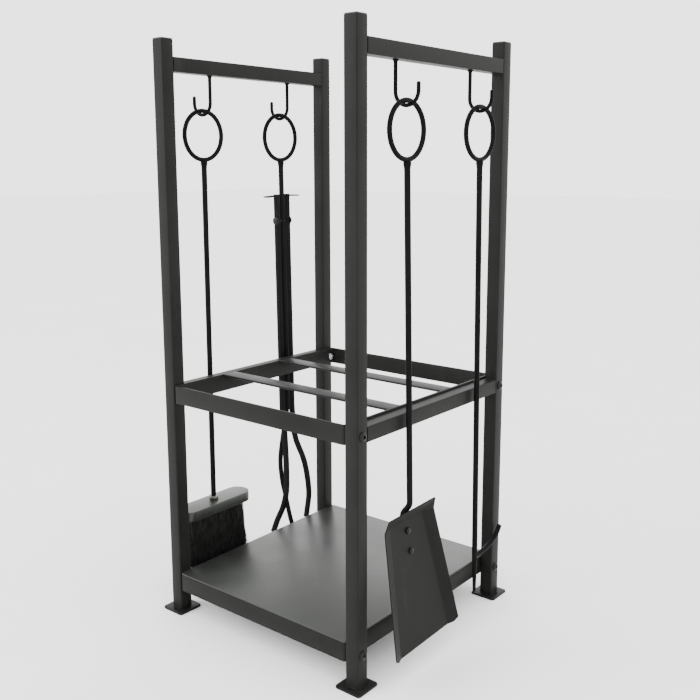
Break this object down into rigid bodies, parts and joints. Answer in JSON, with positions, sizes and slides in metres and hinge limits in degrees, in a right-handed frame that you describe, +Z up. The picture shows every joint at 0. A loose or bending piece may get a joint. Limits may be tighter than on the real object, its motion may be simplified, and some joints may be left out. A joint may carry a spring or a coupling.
{
  "type": "fireplace tool set with log rack",
  "caption": "Free-standing square-tube firewood rack with a shelf, a base tray and hooks on both sides holding a brush, tongs, a shovel and a poker.",
  "frame": {"origin": "floor level under the middle of the whole object, hung tools included", "axes": "+Z up, +X to the right across the rack as seen from its open front, +Y from the front to the rear"},
  "size_m": [0.423, 0.3654, 0.824],
  "materials": {
    "powder_coat": "charcoal black satin powder coat with a fine orange-peel grain",
    "wire_black": "black semi-gloss coat on bent wire",
    "end_cap": "black moulded plastic, matt",
    "zinc": "bright zinc plating",
    "brush_block": "grey-black satin with a faint grain",
    "bristle": "coarse black fibre"
  },
  "bodies": {
    "frame": {"post_front_left": "powder_coat", "post_front_right": "powder_coat", "post_rear_left": "powder_coat", "post_rear_right": "powder_coat", "cap_front_left": "end_cap", "cap_front_right": "end_cap", "cap_rear_left": "end_cap", "cap_rear_right": "end_cap", "foot_front_left": "powder_coat", "foot_front_right": "powder_coat", "foot_rear_left": "powder_coat", "foot_rear_right": "powder_coat", "top_rail_left": "powder_coat", "top_rail_right": "powder_coat", "middle_rail_left": "powder_coat", "middle_rail_right": "powder_coat", "hook_brush": "wire_black", "hook_tongs": "wire_black", "hook_shovel": "wire_black", "hook_poker": "wire_black", "shelf_frame": "powder_coat", "shelf_bar_front": "powder_coat", "shelf_bar_rear": "powder_coat", "base_frame": "powder_coat", "base_tray": "powder_coat", "bolt_shelf_front_left": "powder_coat", "bolt_shelf_front_right": "powder_coat", "bolt_shelf_rear_left": "powder_coat", "bolt_shelf_rear_right": "powder_coat", "bolt_base_front_left": "powder_coat", "bolt_base_front_right": "powder_coat", "bolt_base_rear_left": "powder_coat", "bolt_base_rear_right": "powder_coat", "nut_shelf_front_left": "zinc", "nut_shelf_front_right": "zinc", "nut_shelf_rear_left": "zinc", "nut_shelf_rear_right": "zinc", "nut_base_front_left": "zinc", "nut_base_front_right": "zinc", "nut_base_rear_left": "zinc", "nut_base_rear_right": "zinc"},
    "brush": {"brush_ring": "wire_black", "brush_rod": "powder_coat", "brush_nut": "zinc", "brush_block": "brush_block", "brush_bristles": "bristle"},
    "shovel": {"shovel_ring": "wire_black", "shovel_rod": "powder_coat", "shovel_pan": "powder_coat", "shovel_rivet_upper": "powder_coat", "shovel_rivet_lower": "powder_coat"},
    "poker": {"poker_ring": "wire_black", "poker_rod": "wire_black", "poker_hook": "wire_black"},
    "tongs": {"tongs_ring": "wire_black", "tongs_rod": "powder_coat", "tongs_pivot": "powder_coat"},
    "tongs_jaw": {"tongs_arm_front": "powder_coat", "tongs_arm_rear": "powder_coat"}
  },
  "joints": [
    {"name": "brush_swing", "type": "hinge", "parent": "frame", "child": "brush", "pos_m": [-0.18841, -0.08, 0.73165], "axis": [0, 1, 0], "range_deg": [0, 25]},
    {"name": "tongs_swing", "type": "hinge", "parent": "frame", "child": "tongs", "pos_m": [-0.18841, 0.081, 0.73165], "axis": [0, 1, 0], "range_deg": [0, 25]},
    {"name": "shovel_swing", "type": "hinge", "parent": "frame", "child": "shovel", "pos_m": [0.18159, -0.08699, 0.73165], "axis": [0, -1, 0], "range_deg": [0, 25]},
    {"name": "poker_swing", "type": "hinge", "parent": "frame", "child": "poker", "pos_m": [0.18159, 0.081, 0.73165], "axis": [0, -1, 0], "range_deg": [0, 25]},
    {"name": "tongs_grip", "type": "hinge", "parent": "tongs", "child": "tongs_jaw", "pos_m": [-0.18841, 0.08365, 0.56512], "axis": [0, 0.9999, 0.0162], "range_deg": [0, 25]}
  ]
}
